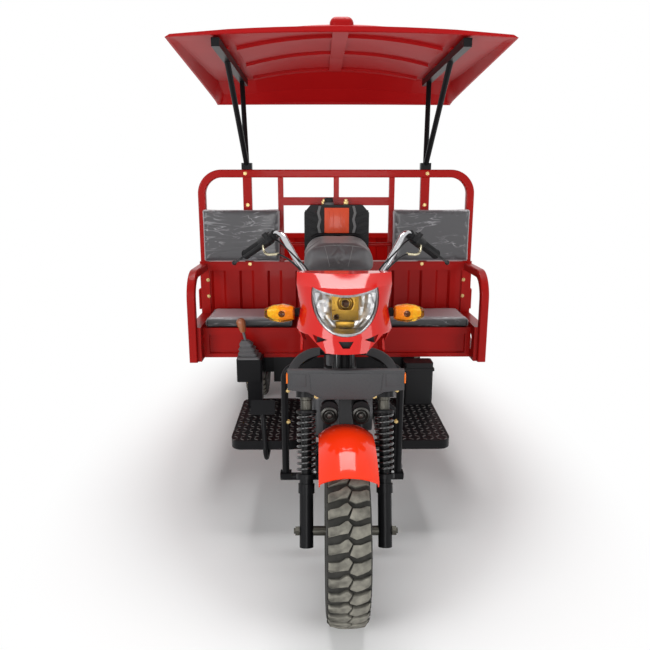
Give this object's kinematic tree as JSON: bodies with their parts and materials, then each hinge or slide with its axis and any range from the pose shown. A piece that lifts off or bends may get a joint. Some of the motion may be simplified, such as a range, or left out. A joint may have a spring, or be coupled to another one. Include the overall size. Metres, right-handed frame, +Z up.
{
  "type": "cargo motor tricycle",
  "caption": "Motor tricycle with a sprung front fork, rider's saddle, passenger bench, hard canopy and a load box with drop sides and a tailgate.",
  "frame": {"origin": "on the ground under the middle of the overall length, on the centre line", "axes": "+X to the rider's left, +Y to the rear, +Z up"},
  "size_m": [1.362, 3.3819, 1.9379],
  "materials": {
    "red_paint": "gloss",
    "black_paint": "satin",
    "chrome": "polished",
    "steel": "zinc plated",
    "alloy": "cast",
    "tyre": "matt",
    "vinyl": "grained vinyl",
    "black_plastic": "textured",
    "boot_rubber": "matt",
    "grip_rubber": "ribbed",
    "red_plastic": "gloss",
    "clear_lens": "clear",
    "red_lens": "clear",
    "amber_lens": "clear"
  },
  "bodies": {
    "chassis": {"backrest_left": "vinyl", "backrest_right": "vinyl", "battery_box": "black_plastic", "bench_cushion_left": "vinyl", "bench_cushion_right": "vinyl", "bench_frame": "red_paint", "brake_pedal": "black_paint", "canopy_frame": "black_paint", "canopy_roof": "red_paint", "cargo_floor": "red_paint", "engine": "alloy", "exhaust": "black_paint", "footboards": "black_paint", "front_wall": "red_paint", "fuel_tank": "red_paint", "gear_console": "black_paint", "gear_lever": "boot_rubber", "grab_rail": "black_paint", "guard_rail": "red_paint", "ladder_frame": "black_paint", "leaf_springs": "black_paint", "leg_guard": "black_paint", "leg_shields": "black_plastic", "main_frame": "black_paint", "mud_flaps": "boot_rubber", "rear_axle": "black_paint", "rear_bumper": "black_paint", "rear_posts": "red_paint", "reserve_tank": "black_plastic", "rider_seat": "vinyl", "seat_pedestal": "black_paint", "splash_panel": "black_plastic", "tail_lamps": "red_lens", "tank_shrouds": "red_plastic"},
    "steering": {"front_axle": "steel", "fork_legs": "black_paint", "fork_springs": "black_paint", "fork_crown": "black_paint", "top_yoke": "black_paint", "handlebar": "chrome", "grips": "grip_rubber", "hand_controls": "black_plastic", "nose_fairing": "red_plastic", "headlamp_lens": "clear_lens", "headlamp_bowl": "chrome", "turn_signals": "amber_lens", "signal_stalks": "boot_rubber", "horns": "black_paint", "bumper_plate": "black_plastic", "front_mudguard": "red_paint"},
    "front_wheel": {"front_tyre": "tyre", "front_wheel_disc": "black_paint"},
    "rear_wheel_left": {"rear_tyre_left": "tyre", "rear_wheel_disc_left": "black_paint"},
    "rear_wheel_right": {"rear_tyre_right": "tyre", "rear_wheel_disc_right": "black_paint"},
    "left_gate": {"side_gate_left": "red_paint"},
    "right_gate": {"side_gate_right": "red_paint"},
    "rear_gate": {"tailgate": "red_paint"}
  },
  "joints": [
    {"name": "steering_turn", "type": "hinge", "parent": "chassis", "child": "steering", "pos_m": [0, -1.362, 0.284], "axis": [0, 0.309, 0.9511], "range_deg": [-40, 40]},
    {"name": "front_wheel_spin", "type": "hinge", "parent": "steering", "child": "front_wheel", "pos_m": [0, -1.407, 0.284], "axis": [1, 0, 0], "continuous": true},
    {"name": "rear_wheel_left_spin", "type": "hinge", "parent": "chassis", "child": "rear_wheel_left", "pos_m": [0.48, 0.793, 0.284], "axis": [1, 0, 0], "continuous": true},
    {"name": "rear_wheel_right_spin", "type": "hinge", "parent": "chassis", "child": "rear_wheel_right", "pos_m": [-0.48, 0.793, 0.284], "axis": [1, 0, 0], "continuous": true},
    {"name": "left_gate_drop", "type": "hinge", "parent": "chassis", "child": "left_gate", "pos_m": [0.646, 0.722, 0.65], "axis": [0, 1, 0], "range_deg": [0, 170]},
    {"name": "right_gate_drop", "type": "hinge", "parent": "chassis", "child": "right_gate", "pos_m": [-0.646, 0.722, 0.65], "axis": [0, -1, 0], "range_deg": [0, 170]},
    {"name": "tailgate_drop", "type": "hinge", "parent": "chassis", "child": "rear_gate", "pos_m": [0, 1.656, 0.65], "axis": [-1, 0, 0], "range_deg": [0, 170]}
  ]
}
